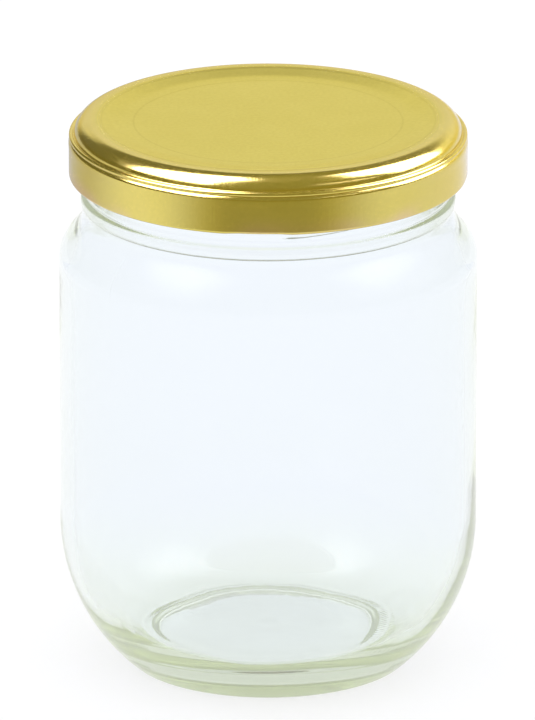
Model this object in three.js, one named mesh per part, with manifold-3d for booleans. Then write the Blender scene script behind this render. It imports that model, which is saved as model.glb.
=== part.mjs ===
// Glass food jar with a one-piece twist-off (lug) cap.
// Millimetres, +Z up. The jar stands on Z = 0, its axis is the Z axis and its front faces -Y.

import * as THREE from 'three';
import { mergeVertices } from 'three/addons/utils/BufferGeometryUtils.js';
import Module from 'manifold-3d';

const wasm = await Module();
wasm.setup();

// Glass jar, outside
const BODY_RADIUS = 38.3;
const HEEL_RADIUS = 35.3; // the large round between the base and the side wall
const HEEL_START = -48; // degrees below level where that round leaves the resting ring
const HEEL_TOP = 27;
const REST_OUTER = 24.9; // flat ring that the jar stands on
const REST_INNER = 23.3;
const REST_EDGE = 0.8; // width of the soft edge outside the resting ring
const REST_EDGE_RISE = 0.2;
const UNDERSIDE = [[0, 2.8], [10.1, 2.5], [20.2, 1.6], [22.3, 0.35]]; // radius and height of the push-up
const SHOULDER_BOTTOM = 77.2;
const SHOULDER_TOP = 86.2;
const SHOULDER_PULLS = [81.2, 83]; // heights that the shoulder's curve is drawn towards
const THROAT_RADIUS = 33.6; // between the shoulder and the neck bead
const NECK_RADIUS = 33.5;
const NECK_BEAD_RADIUS = 34.3; // ring that the moulding machine holds the jar by
const NECK_BEAD = [86.7, 87.4, 89.1, 89.8]; // heights of its foot, its two corners and its top
const RIM_TOP = 102.2;
const RIM_ROUND = 0.9;

// Glass jar, inside
const WALL = 2.3;
const BORE_RADIUS = 31;
const INSIDE_SHOULDER = 75.7; // where the inside starts to draw in towards the bore
const INSIDE_SHOULDER_PULLS = [82.6, 80.2];
const INSIDE_HEEL = 28;
const INSIDE_HEEL_PULLS = [15.5, [29.5, 5.2]]; // a height on the wall, and a radius and height on the floor
const FLOOR = [[21.4, 4.3], [20.2, 4.4], [16, 5], [10.1, 5.4], [0, 5.6]]; // radius and height

// Thread and lugs
const STARTS = 4;
const LEAD = 14; // rise of the cap in one full turn
const THREAD_HEIGHT = 1.35;
const THREAD_ROOT = 1.5; // thickness where the ridge leaves the neck
const THREAD_CREST = 0.7;
const THREAD_BURIED = 0.6; // how far the ridge's root reaches into the neck
const THREAD_END_SINK = 0.2; // how far its faded ends sink below the neck's surface
const THREAD_FADE = 9; // one over the share of its length that each end fades across
const THREAD_BACK = 84; // degrees from the lug in its tight place down to the ridge's low end
const THREAD_AHEAD = 54; // and up to its high end
const LUG_AZIMUTH = -93; // degrees from +X, so the first lug is 3 degrees left of the front
const LUG_SWEEP = 12; // degrees at full depth
const LUG_FADE = 4;
const LUG_DEPTH = 1.3;
const LUG_LIFT = 0.2; // how far pressing a lug raises the rolled edge's lowest line
const LUG_BLEND = 0.8; // height above the rolled edge that the pressing reaches
const LUG_GAP = 0.36; // from the top of a lug to the ridge above its middle

// Cap
const CAP_TOP = 103.3;
const CAP_HEIGHT = 10.7;
const SHEET = 0.25;
const PANEL_RADIUS = 24;
const PANEL_DROP = 0.63; // from the crown to the flat panel
const PANEL_SLOPE = [[27.6, 0.46], [31.1, 0.05]]; // radius and drop of the slope round the panel
const CROWN_RADIUS = 32.6;
const CROWN_ROUND = 2.9;
const CROWN_ARC = [90, 8]; // degrees above level, here and in the other arcs
const BEAD_CENTRE = 35.98;
const BEAD_ROUND = 0.45;
const BEAD_DROP = 3;
const BEAD_ARC = [125, -45];
const SKIRT_RADIUS = 36.5;
const SKIRT_TOP = [[36.13, 3.42], [36.42, 3.9], [36.5, 4.4]]; // radius and drop, from the bead's groove
const SKIRT_WAIST = 0.05; // how much the skirt draws in above the rolled edge
const SKIRT_WAIST_RISES = [1.9, 1.2]; // heights of the waist above the cap's lowest line
const CURL_ROUND = 0.6;
const CURL_ARC = [0, -250];

// Sealing ring flowed into the cap
const RING_INNER = 29.9;
const RING_OUTER_ROUND = 2.48;
const RING_OUTER_ARC = [22, 85];
const RING_GAP = 0.12;
const RING_TOP = 102.81;
const RING_LIP = 101.35;
const RING_BEVEL = 0.6;
const RING_SLOPE = 0.15;
const RING_UNDER_EDGE = [[-0.5, 0], [0.3, -0.4]]; // from the neck's radius and the ring's underside
const RING_LIP_RADIUS = 34.1;
const RING_TOP_EDGE = [[0.4, 0], [0.2, -0.05]]; // from the ring's inner radius and its top

// How many straight pieces each curve is drawn with
const TURN_STEPS = 60;
const HEEL_STEPS = 8;
const SHOULDER_STEPS = 7;
const CROWN_STEPS = 5;
const BEAD_STEPS = 4;
const SMALL_STEPS = 3;

const WELD = 1e-4; // points closer than this are one

const radians = THREE.MathUtils.degToRad;
const smoothstep = THREE.MathUtils.smoothstep;

function point(radius, height) {
  return new THREE.Vector2(radius, height);
}

function points(pairs) {
  return pairs.map(([radius, height]) => point(radius, height));
}

function arc(radius, height, round, [fromDegrees, toDegrees], steps) {
  const clockwise = toDegrees < fromDegrees;
  const start = radians(fromDegrees);
  const end = radians(toDegrees);
  return new THREE.EllipseCurve(radius, height, round, round, start, end, clockwise).getPoints(steps);
}

function bend(start, startPull, endPull, end, steps) {
  return new THREE.CubicBezierCurve(start, startPull, endPull, end).getPoints(steps);
}

// Turns an outline about the Z axis. Both ends of the outline are on the axis, or meet each other.
function revolve(outline) {
  const geometry = new THREE.LatheGeometry(outline, TURN_STEPS);
  return geometry.rotateX(Math.PI / 2);
}

function solidOf(geometry) {
  const bare = geometry.clone();
  bare.deleteAttribute('normal');
  bare.deleteAttribute('uv');
  const merged = mergeVertices(bare, WELD);
  const triangles = [];
  const index = merged.index.array;
  for (let i = 0; i < index.length; i += 3) {
    const [a, b, c] = index.slice(i, i + 3);
    if (a !== b && b !== c && c !== a) triangles.push(a, b, c);
  }
  const vertProperties = new Float32Array(merged.attributes.position.array);
  const triVerts = new Uint32Array(triangles);
  return new wasm.Manifold(new wasm.Mesh({ numProp: 3, vertProperties, triVerts }));
}

function geometryOf(solid) {
  const mesh = solid.getMesh();
  const geometry = new THREE.BufferGeometry();
  geometry.setAttribute('position', new THREE.BufferAttribute(mesh.vertProperties, 3));
  geometry.setIndex(new THREE.BufferAttribute(mesh.triVerts, 1));
  geometry.computeVertexNormals();
  return geometry;
}

function jarOutside() {
  const bodyTop = point(BODY_RADIUS, SHOULDER_BOTTOM);
  const shoulderTop = point(THROAT_RADIUS, SHOULDER_TOP);
  const [lowPull, highPull] = SHOULDER_PULLS;
  const [beadFoot, beadLow, beadHigh, beadTop] = NECK_BEAD;
  return [
    ...points(UNDERSIDE),
    point(REST_INNER, 0),
    point(REST_OUTER, 0),
    point(REST_OUTER + REST_EDGE, REST_EDGE_RISE),
    ...arc(BODY_RADIUS - HEEL_RADIUS, HEEL_TOP, HEEL_RADIUS, [HEEL_START, 0], HEEL_STEPS),
    ...bend(
      bodyTop,
      point(BODY_RADIUS, lowPull),
      point(THROAT_RADIUS, highPull),
      shoulderTop,
      SHOULDER_STEPS,
    ),
    point(THROAT_RADIUS, beadFoot),
    point(NECK_BEAD_RADIUS, beadLow),
    point(NECK_BEAD_RADIUS, beadHigh),
    point(NECK_RADIUS, beadTop),
    ...arc(NECK_RADIUS - RIM_ROUND, RIM_TOP - RIM_ROUND, RIM_ROUND, [0, 90], SMALL_STEPS),
  ];
}

function jarInside() {
  const wallRadius = BODY_RADIUS - WALL;
  const neckBottom = point(BORE_RADIUS, SHOULDER_TOP);
  const wallTop = point(wallRadius, INSIDE_SHOULDER);
  const [borePull, wallPull] = INSIDE_SHOULDER_PULLS;
  const wallBottom = point(wallRadius, INSIDE_HEEL);
  const [heelPull, floorPull] = INSIDE_HEEL_PULLS;
  const [floorEdge, ...floor] = points(FLOOR);
  return [
    ...arc(BORE_RADIUS + RIM_ROUND, RIM_TOP - RIM_ROUND, RIM_ROUND, [90, 180], SMALL_STEPS),
    ...bend(
      neckBottom,
      point(BORE_RADIUS, borePull),
      point(wallRadius, wallPull),
      wallTop,
      SHOULDER_STEPS,
    ),
    ...bend(wallBottom, point(wallRadius, heelPull), point(...floorPull), floorEdge, HEEL_STEPS),
    ...floor,
  ];
}

const CAP_BOTTOM = CAP_TOP - CAP_HEIGHT;
const LUG_TOP = CAP_BOTTOM + 2 * CURL_ROUND;

// One ridge: a box whose length is bent round the neck along the thread's rise. It fades into the
// neck at both ends. The azimuth is where a lug sits under it when the cap is tight.
function threadRidge(azimuth) {
  const sweep = THREAD_BACK + THREAD_AHEAD;
  const steps = Math.round((sweep * TURN_STEPS) / 360);
  const root = NECK_RADIUS - THREAD_BURIED;
  const sunk = NECK_RADIUS - THREAD_END_SINK;
  const crest = NECK_RADIUS + THREAD_HEIGHT;
  const box = new THREE.BoxGeometry(1, 1, 1, steps, 1, 1);
  const vertex = new THREE.Vector3();
  const positions = box.attributes.position;
  for (let i = 0; i < positions.count; i += 1) {
    vertex.fromBufferAttribute(positions, i);
    const along = 0.5 - vertex.x;
    const fromLug = along * sweep - THREAD_BACK;
    const fade = Math.min(1, THREAD_FADE * along, THREAD_FADE * (1 - along));
    const atCrest = vertex.y > 0;
    const radius = atCrest ? sunk + (crest - sunk) * fade : root;
    const thickness = atCrest ? THREAD_CREST : THREAD_ROOT + THREAD_BURIED;
    const middle = LUG_TOP + LUG_GAP + THREAD_ROOT / 2 + (LEAD * fromLug) / 360;
    const angle = radians(azimuth + fromLug);
    const height = middle + vertex.z * thickness;
    positions.setXYZ(i, radius * Math.cos(angle), radius * Math.sin(angle), height);
  }
  return solidOf(box);
}

function glassJar() {
  let jar = solidOf(revolve([...jarOutside(), ...jarInside()]));
  for (let i = 0; i < STARTS; i += 1) {
    jar = jar.add(threadRidge(LUG_AZIMUTH + (360 * i) / STARTS));
  }
  return geometryOf(jar);
}

// The outside of the cap's sheet, from the middle of the panel to the end of the rolled edge.
function capOutside() {
  const top = (drop) => CAP_TOP - drop;
  const waist = SKIRT_RADIUS - SKIRT_WAIST;
  return [
    point(0, top(PANEL_DROP)),
    point(PANEL_RADIUS, top(PANEL_DROP)),
    ...PANEL_SLOPE.map(([radius, drop]) => point(radius, top(drop))),
    ...arc(CROWN_RADIUS, top(CROWN_ROUND), CROWN_ROUND, CROWN_ARC, CROWN_STEPS),
    ...arc(BEAD_CENTRE, top(BEAD_DROP), BEAD_ROUND, BEAD_ARC, BEAD_STEPS),
    ...SKIRT_TOP.map(([radius, drop]) => point(radius, top(drop))),
    ...SKIRT_WAIST_RISES.map((rise) => point(waist, CAP_BOTTOM + rise)),
    ...arc(waist - CURL_ROUND, CAP_BOTTOM + CURL_ROUND, CURL_ROUND, CURL_ARC, CROWN_STEPS),
  ];
}

// The same line moved one sheet thickness to its right-hand side.
function insideOf(outside) {
  return outside.map((here, i) => {
    const arriving = here.clone().sub(outside[i - 1] ?? here).normalize();
    const leaving = (outside[i + 1] ?? here).clone().sub(here).normalize();
    const along = arriving.clone().add(leaving).normalize();
    const stretch = SHEET / Math.max(along.dot(arriving), along.dot(leaving));
    return point(here.x + along.y * stretch, here.y - along.x * stretch);
  });
}

// Flattens the rolled edge at each lug: its inner half stretches towards the neck, its lowest line
// rises a little, and the skirt's outer face stays round.
function pressLugs(geometry) {
  const positions = geometry.attributes.position;
  const vertex = new THREE.Vector3();
  const pitch = 360 / STARTS;
  const curlInner = SKIRT_RADIUS - SKIRT_WAIST - 2 * CURL_ROUND;
  for (let i = 0; i < positions.count; i += 1) {
    vertex.fromBufferAttribute(positions, i);
    const azimuth = THREE.MathUtils.radToDeg(Math.atan2(vertex.y, vertex.x));
    const turned = THREE.MathUtils.euclideanModulo(azimuth - LUG_AZIMUTH + pitch / 2, pitch);
    const away = Math.abs(turned - pitch / 2) - LUG_SWEEP / 2;
    const pressed = 1 - smoothstep(away, 0, LUG_FADE);
    const low = 1 - smoothstep(vertex.z, LUG_TOP, LUG_TOP + LUG_BLEND);
    const radius = Math.hypot(vertex.x, vertex.y);
    if (radius > CROWN_RADIUS) {
      const inner = 1 - smoothstep(radius, curlInner, curlInner + CURL_ROUND);
      const scale = 1 - (LUG_DEPTH * pressed * low * inner) / radius;
      const lift = LUG_LIFT * pressed * (1 - smoothstep(vertex.z, CAP_BOTTOM, LUG_TOP));
      positions.setXYZ(i, vertex.x * scale, vertex.y * scale, vertex.z + lift);
    }
  }
  return geometry;
}

function capShell() {
  const outside = capOutside();
  const inside = insideOf(outside);
  const shell = pressLugs(revolve([...inside, ...outside.reverse()]));
  return geometryOf(solidOf(shell));
}

function sealingRing() {
  const bottom = RIM_TOP + RING_GAP;
  const outline = [
    point(RING_INNER, bottom + RING_SLOPE),
    point(RING_INNER + RING_BEVEL, bottom),
    ...RING_UNDER_EDGE.map(([out, rise]) => point(NECK_RADIUS + out, bottom + rise)),
    point(RING_LIP_RADIUS, RING_LIP),
    ...arc(CROWN_RADIUS, CAP_TOP - CROWN_ROUND, RING_OUTER_ROUND, RING_OUTER_ARC, SMALL_STEPS),
    ...RING_TOP_EDGE.map(([out, rise]) => point(RING_INNER + out, RING_TOP + rise)),
  ];
  outline.push(outline[0].clone());
  return geometryOf(solidOf(revolve(outline)));
}

function addPiece(group, name, geometry, look) {
  const piece = new THREE.Mesh(geometry, new THREE.MeshStandardMaterial(look));
  piece.name = name;
  group.add(piece);
}

const GLASS = { color: 0xe6f2f0, roughness: 0.05, metalness: 0, transparent: true, opacity: 0.35 };
const LACQUER = { color: 0xc9b04a, roughness: 0.3, metalness: 0.9 };
const COMPOUND = { color: 0xdcd8c8, roughness: 0.7, metalness: 0 };

const jarWithCap = new THREE.Group();
addPiece(jarWithCap, 'glass_jar', glassJar(), GLASS);
addPiece(jarWithCap, 'cap_shell', capShell(), LACQUER);
addPiece(jarWithCap, 'sealing_ring', sealingRing(), COMPOUND);

export default jarWithCap;
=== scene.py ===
"""A glass food jar with a gold twist-off cap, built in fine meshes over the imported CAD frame.

All lengths are metres in the CAD's own frame: +Z up, the jar's axis on Z, the front towards -Y.
"""

import math

import bpy
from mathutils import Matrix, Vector, noise


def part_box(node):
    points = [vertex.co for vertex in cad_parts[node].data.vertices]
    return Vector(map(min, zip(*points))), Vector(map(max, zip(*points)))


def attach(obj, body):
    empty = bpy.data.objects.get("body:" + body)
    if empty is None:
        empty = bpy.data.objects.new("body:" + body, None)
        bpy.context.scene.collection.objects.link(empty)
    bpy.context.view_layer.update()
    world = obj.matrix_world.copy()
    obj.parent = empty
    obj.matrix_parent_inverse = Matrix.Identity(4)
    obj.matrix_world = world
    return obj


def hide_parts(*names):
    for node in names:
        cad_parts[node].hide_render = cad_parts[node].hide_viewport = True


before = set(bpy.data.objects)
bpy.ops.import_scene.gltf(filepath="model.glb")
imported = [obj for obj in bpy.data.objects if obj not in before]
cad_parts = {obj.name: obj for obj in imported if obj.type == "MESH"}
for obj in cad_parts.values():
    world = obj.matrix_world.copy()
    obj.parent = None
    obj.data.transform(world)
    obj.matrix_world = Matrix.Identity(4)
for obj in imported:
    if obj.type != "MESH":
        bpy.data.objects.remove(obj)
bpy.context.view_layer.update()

MM = 0.001

# Driving sizes, read from the frame
_, jar_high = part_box("glass_jar")
cap_low, cap_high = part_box("cap_shell")
ring_low, ring_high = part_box("sealing_ring")
BODY = jar_high.x
RIM = jar_high.z
CAP_TOP = cap_high.z
CAP_BOTTOM = cap_low.z
SKIRT = cap_high.x

# Glass, outside. Heights count from the base.
HEEL_ROUND = 35.3 * MM
HEEL_TOP = 27 * MM
HEEL_START = -48
REST_OUTER = 24.9 * MM
REST_INNER = 23.3 * MM
PUSH_UP = 2.8 * MM
SHOULDER_BOTTOM = 77.2 * MM
SHOULDER_TOP = 86.2 * MM
NECK = SKIRT - 3 * MM
COVE = NECK + 0.1 * MM
BEAD = NECK + 0.8 * MM
BEAD_BOTTOM = 86.8 * MM
BEAD_TOP = 90 * MM
RIM_ROUND = 0.9 * MM

# Glass, inside
WALL = BODY - 2.3 * MM
BORE = NECK - 2.5 * MM
FLOOR_CENTRE = 5.6 * MM
FLOOR_EDGE = 4.3 * MM
FLOOR_EDGE_RADIUS = 21.4 * MM

# Thread and lugs
STARTS = 4
LEAD = 14 * MM
LUG_AZIMUTH = -93
LUG_SWEEP = 12
LUG_FADE = 4
LUG_DEPTH = 1.3 * MM
LUG_LIFT = 0.2 * MM
LUG_BLEND = 0.8 * MM
THREAD_HEIGHT = 1.3 * MM
THREAD_CREST = 0.3 * MM
THREAD_ROOT = 0.85 * MM
THREAD_BACK = 84
THREAD_AHEAD = 54
THREAD_FADE = 9
THREAD_OVER_LUG = 1.11 * MM

# Cap sheet
SHEET = 0.25 * MM
CURL = 0.6 * MM
CROWN_ROUND = 2.9 * MM
CROWN = SKIRT - 3.9 * MM
PANEL = 24 * MM
PANEL_DROP = 0.63 * MM
CAP_BEAD_INSET = 0.52 * MM  # its middle, in from the skirt
CAP_BEAD_DROP = 3 * MM
CAP_BEAD_ROUND = 0.45 * MM
SKIRT_DROP = 4.4 * MM  # from the crown to where the skirt runs straight down
SKIRT_WAIST = 0.05 * MM

# Steps round the axis
JAR_STEPS = 240
CAP_STEPS = 300
RING_STEPS = 180

# Mould seam, and the stippled standing ring
SEAM_AZIMUTHS = (-139, 41)
SEAM_HEIGHT = 0.07 * MM
SEAM_WIDTH = 0.3
KNURLS = 130
KNURL_SLANT = 900


# Outlines in (radius, height)

def arc(radius, height, round_radius, from_degrees, to_degrees, steps):
    points = []
    for i in range(steps + 1):
        angle = math.radians(from_degrees + (to_degrees - from_degrees) * i / steps)
        points.append((radius + round_radius * math.cos(angle), height + round_radius * math.sin(angle)))
    return points


def bend(start, start_pull, end_pull, end, steps):
    points = []
    for i in range(steps + 1):
        t = i / steps
        weights = ((1 - t) ** 3, 3 * t * (1 - t) ** 2, 3 * t * t * (1 - t), t ** 3)
        corners = (start, start_pull, end_pull, end)
        points.append(tuple(sum(w * c[k] for w, c in zip(weights, corners)) for k in (0, 1)))
    return points


def straight(start, end, steps):
    points = []
    for i in range(steps + 1):
        t = i / steps
        points.append((start[0] + (end[0] - start[0]) * t, start[1] + (end[1] - start[1]) * t))
    return points


def joined(*stretches):
    """The stretches as one outline, without the points where two of them meet twice."""
    outline = []
    for stretch in stretches:
        for point in stretch:
            if not outline or math.dist(point, outline[-1]) > 1e-7:
                outline.append(point)
    return outline


def smooth(value, low, high):
    t = min(1, max(0, (value - low) / (high - low)))
    return t * t * (3 - 2 * t)


def turned_from(azimuth, middle, pitch=360):
    """Degrees from the nearest of the places that repeat every pitch from middle."""
    return (azimuth - middle + pitch / 2) % pitch - pitch / 2


def azimuths(count, fine_at=()):
    """Evenly spread degrees, with closer steps where a narrow feature crosses."""
    step = 360 / count
    degrees = {round(i * step - 180, 4) for i in range(count)}
    for middle in fine_at:
        for k in range(-8, 9):
            degrees.add(round(turned_from(middle + k * 0.15, 0), 4))
    return sorted(degrees)


def revolve(name, outline, degrees, moved=None, closed=False):
    """A closed mesh of the outline turned about Z. moved(radius, height, azimuth, row) shapes it."""
    vertices = []
    rings = []
    for row, (radius, height) in enumerate(outline):
        if radius < 1e-9:
            rings.append([len(vertices)])
            vertices.append((0, 0, height))
            continue
        rings.append(range(len(vertices), len(vertices) + len(degrees)))
        for azimuth in degrees:
            r, h = moved(radius, height, azimuth, row) if moved else (radius, height)
            angle = math.radians(azimuth)
            vertices.append((r * math.cos(angle), r * math.sin(angle), h))
    faces = []
    pairs = list(zip(rings, rings[1:]))
    if closed:
        pairs.append((rings[-1], rings[0]))
    count = len(degrees)
    for low, high in pairs:
        for i in range(count):
            j = (i + 1) % count
            if len(low) == 1:
                faces.append((low[0], high[j], high[i]))
            elif len(high) == 1:
                faces.append((low[i], low[j], high[0]))
            else:
                faces.append((low[i], low[j], high[j], high[i]))
    mesh = bpy.data.meshes.new(name)
    mesh.from_pydata(vertices, [], faces)
    mesh.shade_smooth()
    mesh.update()
    piece = bpy.data.objects.new(name, mesh)
    bpy.context.scene.collection.objects.link(piece)
    return piece


# The glass jar

def jar_outside():
    heel = arc(BODY - HEEL_ROUND, HEEL_TOP, HEEL_ROUND, HEEL_START, 0, 40)
    heel_foot = heel[0]
    return joined(
        bend((0, PUSH_UP), (12 * MM, PUSH_UP), (19 * MM, 2.3 * MM), (20.5 * MM, 1.5 * MM), 16),
        bend((20.5 * MM, 1.5 * MM), (21.6 * MM, 0.8 * MM), (22.2 * MM, 0), (REST_INNER, 0), 10),
        straight((REST_INNER, 0), (REST_OUTER, 0), 3),
        bend((REST_OUTER, 0), (25.8 * MM, 0), (26.1 * MM, 0.3 * MM), heel_foot, 8),
        heel,
        straight((BODY, HEEL_TOP), (BODY, SHOULDER_BOTTOM), 30),
        bend((BODY, SHOULDER_BOTTOM), (BODY, 81.2 * MM), (COVE, 83 * MM), (COVE, SHOULDER_TOP), 28),
        straight((COVE, SHOULDER_TOP), (COVE, BEAD_BOTTOM), 2),
        bend((COVE, BEAD_BOTTOM), (COVE, 87.2 * MM), (BEAD, 86.9 * MM), (BEAD, 87.7 * MM), 6),
        straight((BEAD, 87.7 * MM), (BEAD, 88.7 * MM), 2),
        bend((BEAD, 88.7 * MM), (BEAD, 89.5 * MM), (NECK, 89.2 * MM), (NECK, BEAD_TOP), 6),
        straight((NECK, BEAD_TOP), (NECK, RIM - RIM_ROUND), 64),
        arc(NECK - RIM_ROUND, RIM - RIM_ROUND, RIM_ROUND, 0, 90, 8),
    )


def jar_inside():
    return joined(
        arc(BORE + RIM_ROUND, RIM - RIM_ROUND, RIM_ROUND, 90, 180, 8),
        straight((BORE, RIM - RIM_ROUND), (BORE, SHOULDER_TOP), 8),
        bend((BORE, SHOULDER_TOP), (BORE, 82.6 * MM), (WALL, 80.2 * MM), (WALL, 75.7 * MM), 20),
        straight((WALL, 75.7 * MM), (WALL, HEEL_TOP + MM), 24),
        bend((WALL, HEEL_TOP + MM), (WALL, 15.5 * MM), (29.5 * MM, FLOOR_EDGE + 0.9 * MM),
             (FLOOR_EDGE_RADIUS, FLOOR_EDGE), 34),
        bend((FLOOR_EDGE_RADIUS, FLOOR_EDGE), (20 * MM, FLOOR_EDGE - 0.05 * MM),
             (18.5 * MM, FLOOR_EDGE + 0.4 * MM), (16 * MM, FLOOR_EDGE + 0.7 * MM), 10),
        bend((16 * MM, FLOOR_EDGE + 0.7 * MM), (11 * MM, FLOOR_CENTRE - 0.1 * MM), (6 * MM, FLOOR_CENTRE),
             (0, FLOOR_CENTRE), 12),
    )


def thread_rise(azimuth, height):
    """How far the four thread ridges stand out of the neck here."""
    rise = 0
    for i in range(STARTS):
        ahead = turned_from(azimuth, LUG_AZIMUTH + 360 * i / STARTS)
        middle = CAP_BOTTOM + 2 * CURL + THREAD_OVER_LUG + LEAD * ahead / 360
        ends = smooth(ahead, -THREAD_BACK, THREAD_FADE - THREAD_BACK)
        ends *= 1 - smooth(ahead, THREAD_AHEAD - THREAD_FADE, THREAD_AHEAD)
        side = 1 - smooth(abs(height - middle), THREAD_CREST, THREAD_ROOT)
        rise = max(rise, THREAD_HEIGHT * ends * side)
    return rise


def seam_rise(azimuth, height):
    """The mould seam, which shows only where the shoulder turns in."""
    nearest = min(abs(turned_from(azimuth, seam)) for seam in SEAM_AZIMUTHS)
    clear = smooth(height, 76 * MM, 80 * MM) * (1 - smooth(height, 83 * MM, 86 * MM))
    return SEAM_HEIGHT * (0.05 + 0.95 * clear) * max(0, 1 - (nearest / SEAM_WIDTH) ** 2)


def glass_wave(radius, height, azimuth, size, seed):
    """Slow unevenness of poured glass, from -1 to 1."""
    angle = math.radians(azimuth)
    place = Vector((radius * math.cos(angle), radius * math.sin(angle), height)) / size
    return noise.noise(place + Vector((seed, seed, seed)))


def glass_jar():
    outside = jar_outside()
    inside = jar_inside()

    def shaped(radius, height, azimuth, row):
        if row < len(outside):
            if BEAD_TOP < height < RIM - RIM_ROUND:
                return radius + thread_rise(azimuth, height), height
            if height > MM and radius > REST_OUTER:
                low_wave = 0.02 * MM * glass_wave(radius, height, azimuth, 22 * MM, 3.1)
                return radius + seam_rise(azimuth, height) + low_wave, height
            return radius, height
        if height > SHOULDER_TOP:
            return radius, height
        thick = 1 - smooth(height, 10 * MM, 45 * MM)
        wave = glass_wave(radius, height, azimuth, 17 * MM, 7.7)
        swell = (0.05 + 0.35 * thick) * MM * wave
        flat = smooth(radius, 2 * MM, 30 * MM)
        return radius - swell * flat, height + swell * (1 - smooth(height, 8 * MM, 30 * MM)) * 0.6

    degrees = azimuths(JAR_STEPS, SEAM_AZIMUTHS)
    return revolve("jar_glass", outside + inside, degrees, shaped)


# The cap

def cap_outside():
    panel = CAP_TOP - PANEL_DROP
    step = (24.9 * MM, panel + 0.025 * MM)
    slope_low = (27.6 * MM, panel + 0.17 * MM)
    slope_high = (31.1 * MM, panel + 0.58 * MM)
    bead = (SKIRT - CAP_BEAD_INSET, CAP_TOP - CAP_BEAD_DROP)
    crown_side = arc(CROWN, CAP_TOP - CROWN_ROUND, CROWN_ROUND, 90, 8, 30)
    bead_side = arc(*bead, CAP_BEAD_ROUND, 125, -45, 14)
    dip = (SKIRT - 0.37 * MM, CAP_TOP - 3.42 * MM)
    shoulder = CAP_TOP - SKIRT_DROP
    skirt = SKIRT - SKIRT_WAIST
    return joined(
        straight((0, panel), (PANEL, panel), 10),
        bend((PANEL, panel), (24.4 * MM, panel), (24.6 * MM, panel + 0.02 * MM), step, 5),
        bend(step, (25.7 * MM, panel + 0.045 * MM), (26.9 * MM, panel + 0.085 * MM), slope_low, 8),
        straight(slope_low, slope_high, 5),
        bend(slope_high, (31.5 * MM, CAP_TOP - 0.01 * MM), (31.9 * MM, CAP_TOP), (CROWN, CAP_TOP), 8),
        crown_side,
        bend(crown_side[-1], (CROWN + CROWN_ROUND, CAP_TOP - 2.66 * MM),
             (SKIRT - 0.88 * MM, CAP_TOP - 2.72 * MM), bead_side[0], 4),
        bead_side,
        bend(bead_side[-1], (SKIRT - 0.3 * MM, CAP_TOP - 3.37 * MM), dip, dip, 3),
        bend(dip, (SKIRT - 0.25 * MM, CAP_TOP - 3.58 * MM), (SKIRT, CAP_TOP - 3.8 * MM),
             (SKIRT, shoulder), 12),
        bend((SKIRT, shoulder), (SKIRT, shoulder - 0.5 * MM), (skirt, shoulder - 0.8 * MM),
             (skirt, shoulder - 1.4 * MM), 5),
        straight((skirt, shoulder - 1.4 * MM), (skirt, CAP_BOTTOM + CURL), 16),
        arc(skirt - CURL, CAP_BOTTOM + CURL, CURL, 0, -270, 24),
    )


def inside_of(outside, thickness):
    """The outline moved by the sheet's thickness to its right-hand side."""
    inside = []
    last = len(outside) - 1
    for i, (x, y) in enumerate(outside):
        before = outside[max(i - 1, 0)]
        after = outside[min(i + 1, last)]
        along = Vector((after[0] - before[0], after[1] - before[1])).normalized()
        inside.append((max(0, x + along.y * thickness), y - along.x * thickness))
    inside[0] = (0, inside[0][1])
    return inside


def lug_pressed(radius, height, azimuth):
    """A point of the rolled edge after its inner side is pressed towards the neck at each lug."""
    away = abs(turned_from(azimuth, LUG_AZIMUTH, 360 / STARTS))
    across = 1 - smooth(away, LUG_SWEEP / 2 - 1, LUG_SWEEP / 2 + LUG_FADE + 1)
    lug_top = CAP_BOTTOM + 2 * CURL
    low = 1 - smooth(height, lug_top, lug_top + LUG_BLEND)
    inner = 1 - smooth(radius, SKIRT - 2 * CURL, SKIRT - CURL)
    lift = LUG_LIFT * across * (1 - smooth(height, CAP_BOTTOM, lug_top))
    return radius - LUG_DEPTH * across * low * inner, height + lift


def cap_shell():
    outside = cap_outside()
    inside = inside_of(outside, SHEET)

    def shaped(radius, height, azimuth, _row):
        if radius < CROWN:
            return radius, height
        return lug_pressed(radius, height, azimuth)

    sheet = revolve("cap_sheet", inside + outside[::-1], azimuths(CAP_STEPS), shaped)
    inner = sheet.data.attributes.new("inner", "FLOAT", "POINT")
    enamelled = 1 + CAP_STEPS * (len(inside) - 1)
    inner.data.foreach_set("value", [float(i < enamelled) for i in range(len(inner.data))])
    return sheet


# The sealing ring

def sealing_ring():
    top = ring_high.z
    inner = -ring_low.x - 5 * MM
    bottom = RIM + 0.12 * MM
    lip = ring_low.z
    outline = joined(
        bend((inner, bottom + 0.3 * MM), (inner, bottom + 0.1 * MM), (inner + 0.3 * MM, bottom),
             (inner + 0.8 * MM, bottom), 5),
        straight((inner + 0.8 * MM, bottom), (NECK - 0.5 * MM, bottom), 6),
        bend((NECK - 0.5 * MM, bottom), (NECK, bottom), (NECK + 0.3 * MM, bottom - 0.3 * MM),
             (NECK + 0.5 * MM, lip + 0.1 * MM), 6),
        bend((NECK + 0.5 * MM, lip + 0.1 * MM), (NECK + 0.6 * MM, lip), (NECK + 1.3 * MM, lip),
             (CROWN + 2.3 * MM, lip + 0.1 * MM), 5),
        arc(CROWN, CAP_TOP - CROWN_ROUND, 2.48 * MM, 25, 88, 12),
        straight((CROWN, top), (inner + 0.4 * MM, top), 5),
        bend((inner + 0.4 * MM, top), (inner + 0.1 * MM, top), (inner, top - 0.1 * MM),
             (inner, top - 0.2 * MM), 3),
    )
    return revolve("seal_compound", outline, azimuths(RING_STEPS), closed=True)


# Materials

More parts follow.
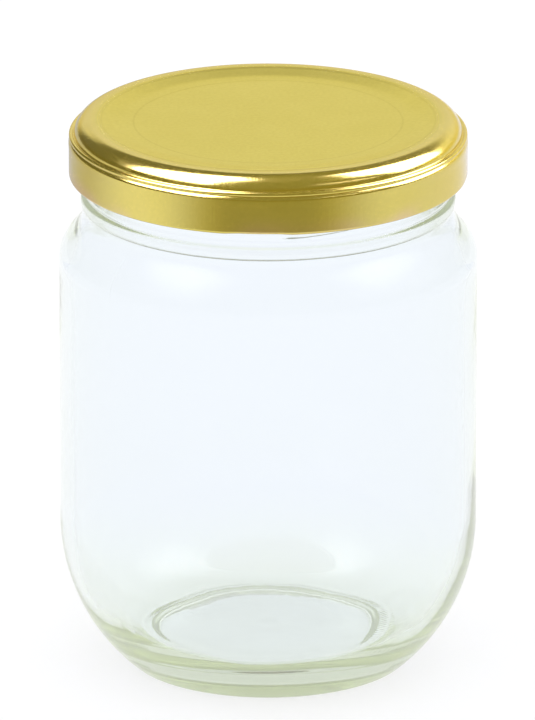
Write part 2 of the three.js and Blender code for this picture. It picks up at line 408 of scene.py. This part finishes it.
# The studio's lights as polished metal sees them, on a ceiling 1 above it: brightness, then edges as
# (x weight, y weight, limit, softness) of the side that is lit.
CEILING_LIGHTS = (
    (9.0, ((-0.10, 1, 0.30, 0.04), (1, 0, -0.12, 0.04), (1, -0.78, 0.04, 0.06), (-1, -0.5, 2.5, 0.5))),
    (9.0, ((-1, 1, -0.10, 0.05), (-0.52, 1, 0.36, 0.08), (-1, -0.9, -0.48, 0.05), (0, -1, 0.30, 0.08),
           (1, 0.2, 4.5, 1.5))),
    (4.0, ((-0.45, 1, -1.80, 0.06), (0.45, -1, 1.98, 0.06), (-1, 0, -0.95, 0.2), (1, 0, 2.3, 0.3))),
)
LAMP_COLOUR = (1.0, 1.0, 2.4)
METAL_BACKDROP = 0.66
METAL_ROOM = (0.34, 0.2)  # how dark the rest is to metal, and to its left and behind

# Soft lights: where they stand, half their width and half their height
GLASS_LIGHTS = (((-0.60, -0.30, 0.66), 0.28, 0.32), ((0.72, 0.0, 0.60), 0.45, 0.32))
GLASS_LIGHT_EDGE = 0.8
GLASS_LIGHT = 0.35
GLASS_ROOM = 0.85
THROUGH_LIGHTS = (((0.60, 0.06, 0.76), 0.34, 0.34), ((-0.44, -0.14, 0.85), 0.30, 0.42))
THROUGH_LIGHT_EDGE = 0.7
THROUGH_LIGHT = 2.0

WHITE = (1, 1, 1, 1)
CLEAR = (0.985, 0.992, 1.0, 1)
GLASS_SHADOW = (0.97, 0.98, 0.97, 1)
FLOOR_PAPER = (0.33, 0.33, 0.33, 1)
FLOOR_GLOW = 0.72
FLOOR_COOL = (0.94, 1.02, 1.95, 1)

# Gold lacquer, each as the two ends of its slow blotches
TOP_LACQUER = ((0.755, 0.605, 0.012, 1), (0.785, 0.630, 0.026, 1))
SIDE_LACQUER = ((0.765, 0.590, 0.075, 1), (0.795, 0.615, 0.095, 1))
MATT_LACQUER = ((0.67, 0.565, 0.135, 1), (0.73, 0.615, 0.160, 1))
# A painted reflection of warm surroundings, low on the skirt
PAINTED_WARM_REFLECTION = (0.88, 0.55, 0.30, 1)
# Dark for the painted shade at the panel's steps and for the lacquer's fine specks
LINE_SHADE_AND_SPECKS = (0.30, 0.25, 0.02, 1)
MATT_LINE_SHADE_AND_SPECKS = (0.42, 0.35, 0.07, 1)
MATT_SHARE = 0.6  # of the panel
# The panel's steps, where a dark line of painted shade is drawn
PANEL_LINES = (24.6 * MM, 30.6 * MM)
LINE_WIDTH = 0.35 * MM
# The cap's inside enamel, kept dark grey-brown: partly its own colour, partly painted shade for the dim
# inside of the cap
ENAMEL_AND_SHADE = (0.42, 0.39, 0.32, 1)
COMPOUND = ((0.74, 0.71, 0.62, 1), (0.82, 0.80, 0.72, 1))
HORIZON_COLOUR = (0.92, 0.84, 0.45, 1)
GLASS_TINT = (0.725, 0.753, 0.55)
GLASS_DENSITY = 75
# How much of what it absorbs the glass glows back: painted light in the thick glass
PAINTED_GLASS_GLOW = (0.47, 0.53, 0.36)
HEEL_TINT = (0.74, 0.76, 0.64, 1)
# Neck colour: partly its thicker glass, partly painted shade from under the cap
NECK_GLASS_AND_SHADE = (0.82, 0.84, 0.75, 1)
THROUGH_GLASS = (0.895, 0.940, 1.10, 1)
# Floor close under the jar, seen through the glass: painted greenish light
PAINTED_LIGHT_UNDER_JAR = (0.94, 1.0, 1.03, 1)


class Nodes:
    """A short way to write a node tree."""

    def __init__(self, tree):
        self.tree = tree
        tree.nodes.clear()

    def add(self, kind, settings=None, **inputs):
        node = self.tree.nodes.new(kind)
        for key, value in (settings or {}).items():
            setattr(node, key, value)
        for key, value in inputs.items():
            name = key.replace("_", " ")
            socket = node.inputs[int(key[1:])] if key[1:].isdigit() else node.inputs[name]
            self.put(value, socket)
        return node

    def put(self, value, socket):
        if hasattr(value, "is_linked"):
            self.tree.links.new(value, socket)
        else:
            socket.default_value = value

    def math(self, operation, a, b=0.0):
        return self.add("ShaderNodeMath", {"operation": operation}, i0=a, i1=b).outputs[0]

    def times(self, a, b):
        return self.math("MULTIPLY", a, b)

    def plus(self, a, b):
        return self.math("ADD", a, b)

    def vector(self, operation, a, b=(0, 0, 0)):
        node = self.add("ShaderNodeVectorMath", {"operation": operation}, i0=a, i1=b)
        return node.outputs["Value" if operation in ("DOT_PRODUCT", "LENGTH") else "Vector"]

    def ramp(self, value, low, high, start=0.0, end=1.0):
        node = self.add("ShaderNodeMapRange", {"interpolation_type": "SMOOTHSTEP"},
                        Value=value, From_Min=low, From_Max=high, To_Min=start, To_Max=end)
        return node.outputs[0]

    def mix(self, factor, a, b):
        node = self.add("ShaderNodeMix", {"data_type": "RGBA"})
        self.put(factor, node.inputs[0])
        self.put(a, node.inputs[6])
        self.put(b, node.inputs[7])
        return node.outputs[2]

    def grey(self, value):
        return self.add("ShaderNodeCombineXYZ", None, X=value, Y=value, Z=value).outputs[0]

    def noise(self, place, scale, detail=2.0):
        node = self.add("ShaderNodeTexNoise", None, Vector=place, Scale=scale, Detail=detail)
        return node.outputs[0]


def new_material(name):
    material = bpy.data.materials.new(name)
    material.use_nodes = True
    return material, Nodes(material.node_tree)


def polar(nodes):
    """Object place, radius and angle about the jar's axis, as sockets."""
    place = nodes.add("ShaderNodeTexCoord").outputs["Object"]
    apart = nodes.add("ShaderNodeSeparateXYZ", None, Vector=place).outputs
    flat = nodes.add("ShaderNodeCombineXYZ", None, X=apart["X"], Y=apart["Y"]).outputs[0]
    radius = nodes.vector("LENGTH", flat)
    angle = nodes.math("ARCTAN2", apart["Y"], apart["X"])
    return place, radius, angle, apart["Z"]


def band(nodes, value, middle, width):
    """1 where the value is at middle, falling to 0 at width to either side."""
    return nodes.ramp(nodes.math("ABSOLUTE", nodes.math("SUBTRACT", value, middle)), 0, width, 1, 0)


def glass_material():
    material, nodes = new_material("clear_glass")
    place, radius, angle, height = polar(nodes)
    ripple = nodes.noise(place, 90, 3)
    fine = nodes.noise(place, 600, 2)
    knurl = nodes.math("SINE", nodes.plus(nodes.times(angle, KNURLS),
                                          nodes.times(radius, KNURL_SLANT)))
    under = nodes.times(nodes.ramp(height, 0.4 * MM, 1.2 * MM, 1, 0),
                       nodes.ramp(radius, REST_INNER - 1.5 * MM, REST_INNER))
    marked = nodes.times(nodes.ramp(angle, -1.0, -0.7), nodes.ramp(angle, 0.1, 0.4, 1, 0))
    under = nodes.times(under, marked)
    bumps = nodes.plus(nodes.times(ripple, 0.3), nodes.times(fine, 0.02))
    bumps = nodes.plus(bumps, nodes.times(nodes.times(knurl, under), 0.25))
    bump = nodes.add("ShaderNodeBump", None, Strength=0.12, Distance=0.0008, Height=bumps)
    geometry = nodes.add("ShaderNodeNewGeometry").outputs
    entering = nodes.math("SUBTRACT", 1.0, geometry["Backfacing"])
    leaning = nodes.add("ShaderNodeSeparateXYZ", None, Vector=geometry["Normal"]).outputs["Z"]
    heel = nodes.times(entering, nodes.ramp(leaning, -0.62, -0.46, 1, 0))
    facing = nodes.add("ShaderNodeLayerWeight", None, Blend=0.5).outputs["Facing"]
    # Darker glass towards the neck's edges: partly its thicker glass, partly painted shade from under the
    # cap
    neck = nodes.times(nodes.ramp(height, SHOULDER_TOP - MM, BEAD_BOTTOM + MM),
                      nodes.ramp(facing, 0.25, 0.65))
    tint = nodes.mix(heel, CLEAR, HEEL_TINT)
    tint = nodes.mix(neck, tint, NECK_GLASS_AND_SHADE)
    glass = nodes.add("ShaderNodeBsdfPrincipled", None, Base_Color=tint, Roughness=0.0,
                      IOR=1.52, Transmission_Weight=1.0, Normal=bump.outputs[0])
    passing = nodes.add("ShaderNodeBsdfTransparent", None, Color=GLASS_SHADOW)
    path = nodes.add("ShaderNodeLightPath").outputs
    surface = nodes.add("ShaderNodeMixShader", None, Fac=path["Is Shadow Ray"],
                        i1=glass.outputs[0], i2=passing.outputs[0])
    dark = nodes.add("ShaderNodeVolumeAbsorption", None, Color=(*GLASS_TINT, 1), Density=GLASS_DENSITY)
    # The volume glows as well as absorbs: painted light that keeps the thick glass bright and olive
    # rather than dark
    glow = [PAINTED_GLASS_GLOW[i] * (1 - GLASS_TINT[i]) for i in range(3)]
    light = nodes.add("ShaderNodeEmission", None, Color=(*glow, 1), Strength=GLASS_DENSITY)
    absorbs_and_glows = nodes.add("ShaderNodeAddShader", None, i0=dark.outputs[0], i1=light.outputs[0])
    nodes.add("ShaderNodeOutputMaterial", None, Surface=surface.outputs[0], Volume=absorbs_and_glows.outputs[0])
    return material


def lacquer_material():
    material, nodes = new_material("gold_lacquer")
    place, radius, angle, height = polar(nodes)
    blotch = nodes.noise(place, 120, 4)
    top = nodes.mix(blotch, *TOP_LACQUER)
    side = nodes.mix(blotch, *SIDE_LACQUER)
    colour = nodes.mix(nodes.ramp(radius, 30 * MM, 33.5 * MM), top, side)
    # Warm patches low on the skirt: a painted reflection of warm surroundings
    warm_height = nodes.ramp(height, CAP_BOTTOM, CAP_BOTTOM + 4 * MM, 1, 0)
    warm_patch = nodes.ramp(nodes.noise(place, 45, 2), 0.45, 0.7)
    warm = nodes.times(nodes.times(warm_height, warm_patch), 0.55)
    colour = nodes.mix(warm, colour, PAINTED_WARM_REFLECTION)
    # Dark lines at the panel's steps are painted shade; the fine specks are the lacquer's own
    lines = nodes.math("MAXIMUM", *(band(nodes, radius, line, LINE_WIDTH) for line in PANEL_LINES))
    speck = nodes.ramp(nodes.noise(place, 1500, 2), 0.3, 0.7, 0.0, 0.05)
    shade = nodes.plus(nodes.times(lines, 0.06), speck)
    colour = nodes.mix(shade, colour, LINE_SHADE_AND_SPECKS)
    streak_place = nodes.add("ShaderNodeCombineXYZ", None, X=nodes.times(angle, 70),
                             Y=nodes.times(radius, 60), Z=nodes.times(height, 60))
    streak = nodes.noise(streak_place.outputs[0], 1.5, 3)
    grain = nodes.noise(place, 2600, 2)
    bumps = nodes.plus(nodes.times(streak, 0.5), nodes.times(grain, 0.5))
    bump = nodes.add("ShaderNodeBump", None, Strength=0.16, Distance=0.00012, Height=bumps)
    rough = nodes.ramp(nodes.noise(place, 300, 3), 0.2, 0.8, 0.13, 0.19)
    metal = nodes.add("ShaderNodeBsdfPrincipled", None, Base_Color=colour, Metallic=1.0, Roughness=rough,
                      Coat_Weight=0.08, Coat_Roughness=0.1, Normal=bump.outputs[0])
    enamel = nodes.add("ShaderNodeBsdfPrincipled", None, Base_Color=ENAMEL_AND_SHADE, Roughness=0.35,
                       Normal=bump.outputs[0])
    inner = nodes.add("ShaderNodeAttribute", {"attribute_name": "inner"}).outputs["Fac"]
    # Painted shade along the panel's steps, with the lacquer's specks, on the matt pigment
    marked = nodes.plus(nodes.times(lines, 0.22), nodes.times(speck, 3.0))
    matt = nodes.mix(marked, nodes.mix(blotch, *MATT_LACQUER), MATT_LINE_SHADE_AND_SPECKS)
    pigment = nodes.add("ShaderNodeBsdfDiffuse", None, Normal=bump.outputs[0], Color=matt)
    satin = nodes.ramp(radius, 30 * MM, 32 * MM, MATT_SHARE, 0.0)
    outer = nodes.add("ShaderNodeMixShader", None, Fac=satin, i1=metal.outputs[0], i2=pigment.outputs[0])
    sheet = nodes.add("ShaderNodeMixShader", None, Fac=inner, i1=outer.outputs[0], i2=enamel.outputs[0])
    nodes.add("ShaderNodeOutputMaterial", None, Surface=sheet.outputs[0])
    return material


def compound_material():
    material, nodes = new_material("sealing_compound")
    place = nodes.add("ShaderNodeTexCoord").outputs["Object"]
    colour = nodes.mix(nodes.noise(place, 200, 4), *COMPOUND)
    skin = nodes.noise(place, 900, 3)
    bump = nodes.add("ShaderNodeBump", None, Strength=0.2, Distance=0.0002, Height=skin)
    soft = nodes.add("ShaderNodeBsdfPrincipled", None, Base_Color=colour, Roughness=0.55,
                     Subsurface_Weight=0.15, Subsurface_Scale=0.002, Normal=bump.outputs[0])
    nodes.add("ShaderNodeOutputMaterial", None, Surface=soft.outputs[0])
    return material


def mirrored(nodes):
    """Three sockets: 1 for a ray that metal mirrored, that glass mirrored, and that passed glass."""
    path = nodes.add("ShaderNodeLightPath").outputs
    straight_on = nodes.math("SUBTRACT", 1.0, path["Is Transmission Ray"])
    reflected = nodes.times(path["Is Glossy Ray"], straight_on)
    by_glass = nodes.times(reflected, path["Is Singular Ray"])
    return nodes.math("SUBTRACT", reflected, by_glass), by_glass, path["Is Transmission Ray"]


def floor_material():
    """White paper, lit from below as well, with the darker room that metal sees in front of it."""
    material, nodes = new_material("pale_floor")
    place = nodes.add("ShaderNodeTexCoord").outputs["Object"]
    apart = nodes.add("ShaderNodeSeparateXYZ", None, Vector=place).outputs
    by_metal, _, through = mirrored(nodes)
    sideways = nodes.math("ARCTAN2", apart["X"], nodes.times(apart["Y"], -1.0))
    sideways = nodes.times(sideways, 180 / math.pi)
    left = nodes.ramp(sideways, -70, -18, 1.07, 0.385)
    left_back = nodes.ramp(sideways, -130, -78, 0.6, 1.0)
    right = nodes.ramp(sideways, 18, 74, 0.0, 0.57)
    room = nodes.plus(nodes.times(left, left_back), right)
    near = nodes.ramp(nodes.vector("LENGTH", place), 0.13, 0.29, 1, 0)
    room = nodes.math("MAXIMUM", room, nodes.times(near, 0.95))
    paper = nodes.add("ShaderNodeBsdfDiffuse", None, Color=FLOOR_PAPER)
    # Through the glass the floor near the jar is greener: painted light, tinted by the glass, under the
    # jar
    away = nodes.ramp(nodes.vector("LENGTH", place), 0.03, 0.10)
    tint = nodes.mix(through, WHITE, nodes.mix(away, PAINTED_LIGHT_UNDER_JAR, THROUGH_GLASS))
    glow = nodes.add("ShaderNodeEmission", None, Color=tint, Strength=FLOOR_GLOW)
    white = nodes.add("ShaderNodeAddShader", None, i0=paper.outputs[0], i1=glow.outputs[0])
    beside = nodes.ramp(nodes.math("ABSOLUTE", sideways), 95, 140, 1, 0.2)
    cool = nodes.times(nodes.ramp(room, 0.42, 0.85), beside)
    cool = nodes.mix(cool, WHITE, FLOOR_COOL)
    seen = nodes.add("ShaderNodeEmission", None, Color=cool, Strength=room)
    surface = nodes.add("ShaderNodeMixShader", None, Fac=by_metal,
                        i1=white.outputs[0], i2=seen.outputs[0])
    nodes.add("ShaderNodeOutputMaterial", None, Surface=surface.outputs[0])
    return material


# Stage

FLOOR_REACH = 30.0
FLOOR_GAP = 0.2 * MM  # keeps the floor off the standing ring
CAMERA_ELEVATION = 18.66
CAMERA_DISTANCE = 3.0  # much further, and a view of a pose is beyond its far limit
SEEN_HEIGHT = 0.1321
LOOK_AT = (-0.00013, 0, 0.0567)


def softbox(nodes, direction, towards, half_width, half_height, edge):
    """1 inside a soft-edged rectangle of the surroundings whose middle is towards, 0 outside."""
    middle = Vector(towards).normalized()
    across = middle.cross(Vector((0, 0, 1))).normalized()
    upward = across.cross(middle)
    ahead = nodes.vector("DOT_PRODUCT", direction, middle)
    mask = nodes.math("GREATER_THAN", ahead, 0.05)
    for axis, half in ((across, half_width), (upward, half_height)):
        offset = nodes.math("DIVIDE", nodes.vector("DOT_PRODUCT", direction, axis), ahead)
        inside = nodes.ramp(nodes.math("ABSOLUTE", offset), half * (1 - edge), half * (1 + edge), 1, 0)
        mask = nodes.times(mask, inside)
    return mask


def strongest(nodes, direction, lights, edge):
    return nodes.math("MAXIMUM", *(softbox(nodes, direction, *light, edge) for light in lights))


def studio_light():
    """White surroundings. Metal sees lamps and a backdrop in them, and glass sees soft lights."""
    world = bpy.data.worlds.new("studio")
    bpy.context.scene.world = world
    world.use_nodes = True
    world.cycles.sampling_method = "NONE"
    nodes = Nodes(world.node_tree)
    direction = nodes.add("ShaderNodeTexCoord").outputs["Generated"]
    apart = nodes.add("ShaderNodeSeparateXYZ", None, Vector=direction).outputs
    height = apart["Z"]
    around = nodes.times(nodes.math("ARCTAN2", apart["X"], apart["Y"]), 180 / math.pi)
    behind = nodes.times(nodes.ramp(around, -33, -18), nodes.ramp(around, 72, 88, 1, 0))
    backdrop = nodes.times(nodes.ramp(height, 0.42, 0.52, 1, 0), behind)
    dark = nodes.ramp(nodes.vector("DOT_PRODUCT", direction, (-0.8, 0.6, 0)), 0.2, 0.7, *METAL_ROOM)
    metal = nodes.plus(dark, nodes.times(backdrop, METAL_BACKDROP))
    overhead = nodes.math("MAXIMUM", height, 0.02)
    ceiling = nodes.add("ShaderNodeCombineXYZ", None, X=nodes.math("DIVIDE", apart["X"], overhead),
                        Y=nodes.math("DIVIDE", apart["Y"], overhead)).outputs[0]
    lamps = None
    for light, edges in CEILING_LIGHTS:
        mask = light
        for across, along, limit, softness in edges:
            reach = nodes.vector("DOT_PRODUCT", ceiling, (across, along, 0))
            inside = nodes.ramp(reach, limit - softness, limit + softness, 1, 0)
            mask = nodes.times(mask, inside)
        lamps = mask if lamps is None else nodes.math("MAXIMUM", lamps, mask)
    glass_lights = strongest(nodes, direction, GLASS_LIGHTS, GLASS_LIGHT_EDGE)
    glass = nodes.plus(GLASS_ROOM, nodes.times(glass_lights, GLASS_LIGHT))
    through_lights = strongest(nodes, direction, THROUGH_LIGHTS, THROUGH_LIGHT_EDGE)
    beyond = nodes.plus(1.0, nodes.times(through_lights, THROUGH_LIGHT))
    by_metal, by_glass, through = mirrored(nodes)
    seen_through = nodes.vector("MULTIPLY", nodes.grey(beyond), THROUGH_GLASS[:3])
    plain = nodes.mix(through, WHITE, seen_through)
    lit = nodes.vector("MULTIPLY", nodes.grey(lamps), LAMP_COLOUR)
    horizon = nodes.mix(nodes.ramp(height, 0.10, 0.28), HORIZON_COLOUR, WHITE)
    metal = nodes.vector("MAXIMUM", nodes.vector("MULTIPLY", nodes.grey(metal), horizon), lit)
    colour = nodes.mix(by_metal, nodes.mix(by_glass, plain, nodes.grey(glass)), metal)
    background = nodes.add("ShaderNodeBackground", None, Color=colour, Strength=1.0)
    nodes.add("ShaderNodeOutputWorld", None, Surface=background.outputs[0])


def add_floor():
    mesh = bpy.data.meshes.new("floor")
    corners = ((-1, -1), (1, -1), (1, 1), (-1, 1))
    mesh.from_pydata([(x * FLOOR_REACH, y * FLOOR_REACH, -FLOOR_GAP) for x, y in corners],
                     [], [(0, 1, 2, 3)])
    floor = bpy.data.objects.new("floor", mesh)
    bpy.context.scene.collection.objects.link(floor)
    floor.data.materials.append(floor_material())


def add_camera():
    elevation = math.radians(CAMERA_ELEVATION)
    back = Vector((0, -math.cos(elevation), math.sin(elevation)))
    camera = bpy.data.objects.new("camera", bpy.data.cameras.new("camera"))
    camera.data.lens = camera.data.sensor_width * CAMERA_DISTANCE / SEEN_HEIGHT
    camera.location = Vector(LOOK_AT) + back * CAMERA_DISTANCE
    camera.rotation_euler = (-back).to_track_quat("-Z", "Y").to_euler()
    camera.data.clip_end = 100
    bpy.context.scene.collection.objects.link(camera)
    bpy.context.scene.camera = camera


def install(piece, material, body, node):
    piece.data.materials.append(material)
    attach(piece, body)
    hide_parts(node)


install(glass_jar(), glass_material(), "jar", "glass_jar")
install(cap_shell(), lacquer_material(), "cap", "cap_shell")
install(sealing_ring(), compound_material(), "seal", "sealing_ring")

add_floor()
add_camera()
studio_light()

scene = bpy.context.scene
scene.view_settings.view_transform = "Standard"
scene.cycles.transmission_bounces = 24
scene.cycles.glossy_bounces = 24
scene.cycles.transparent_max_bounces = 24
scene.cycles.max_bounces = 32
scene.cycles.use_denoising = True
